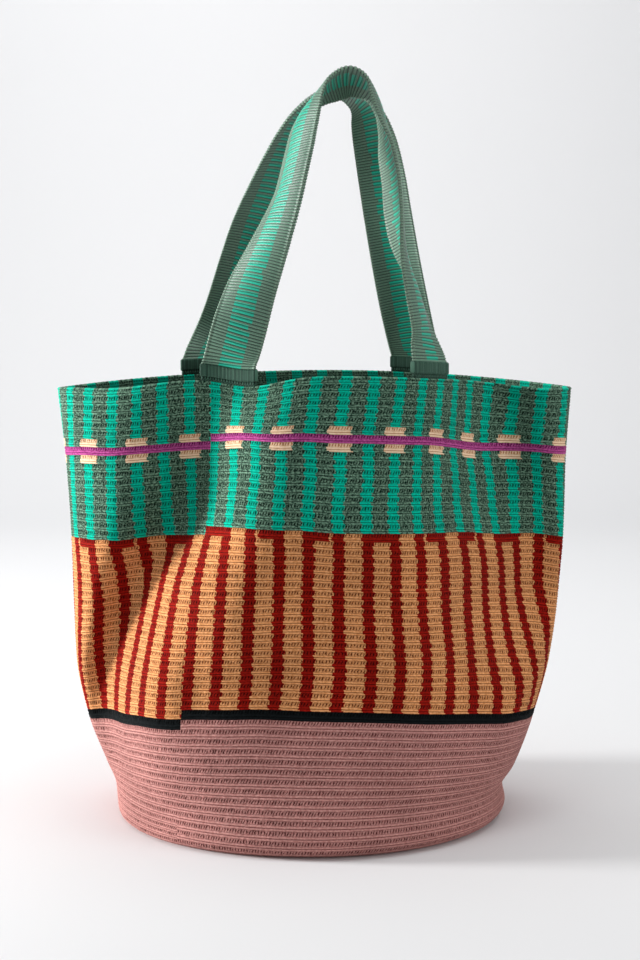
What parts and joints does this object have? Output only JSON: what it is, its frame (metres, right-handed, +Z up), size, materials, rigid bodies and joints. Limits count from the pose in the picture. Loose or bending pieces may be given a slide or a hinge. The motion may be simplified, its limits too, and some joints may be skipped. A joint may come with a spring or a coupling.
{
  "type": "crocheted bucket bag",
  "caption": "Crocheted cotton bucket bag worked in rounds on a flat round base, open at the top, with two ribbed woven straps sewn to the rim.",
  "frame": {"origin": "centre of the round base on the surface the bag stands on", "axes": "+Z up, +X to the right of the front, the front faces -Y"},
  "size_m": [0.4276, 0.3219, 0.6214],
  "materials": {
    "crochet_body": "crocheted cotton in pink, black, camel, red, grey-green, teal, cream and purple rounds",
    "front_strap": "ribbed woven cotton band in grey-green and teal",
    "back_strap": "ribbed woven cotton band in grey-green and teal",
    "strap_binding": "whipped grey-green cotton yarn",
    "strap_seam": "overcast grey-green cotton yarn"
  },
  "bodies": {
    "root": {"crochet_body": "crochet_body", "front_strap": "front_strap", "back_strap": "back_strap", "front_left_end_binding": "strap_binding", "front_right_end_binding": "strap_binding", "back_left_end_binding": "strap_binding", "back_right_end_binding": "strap_binding", "front_left_seam_roll": "strap_seam", "front_right_seam_roll": "strap_seam", "back_left_seam_roll": "strap_seam", "back_right_seam_roll": "strap_seam"}
  },
  "joints": []
}
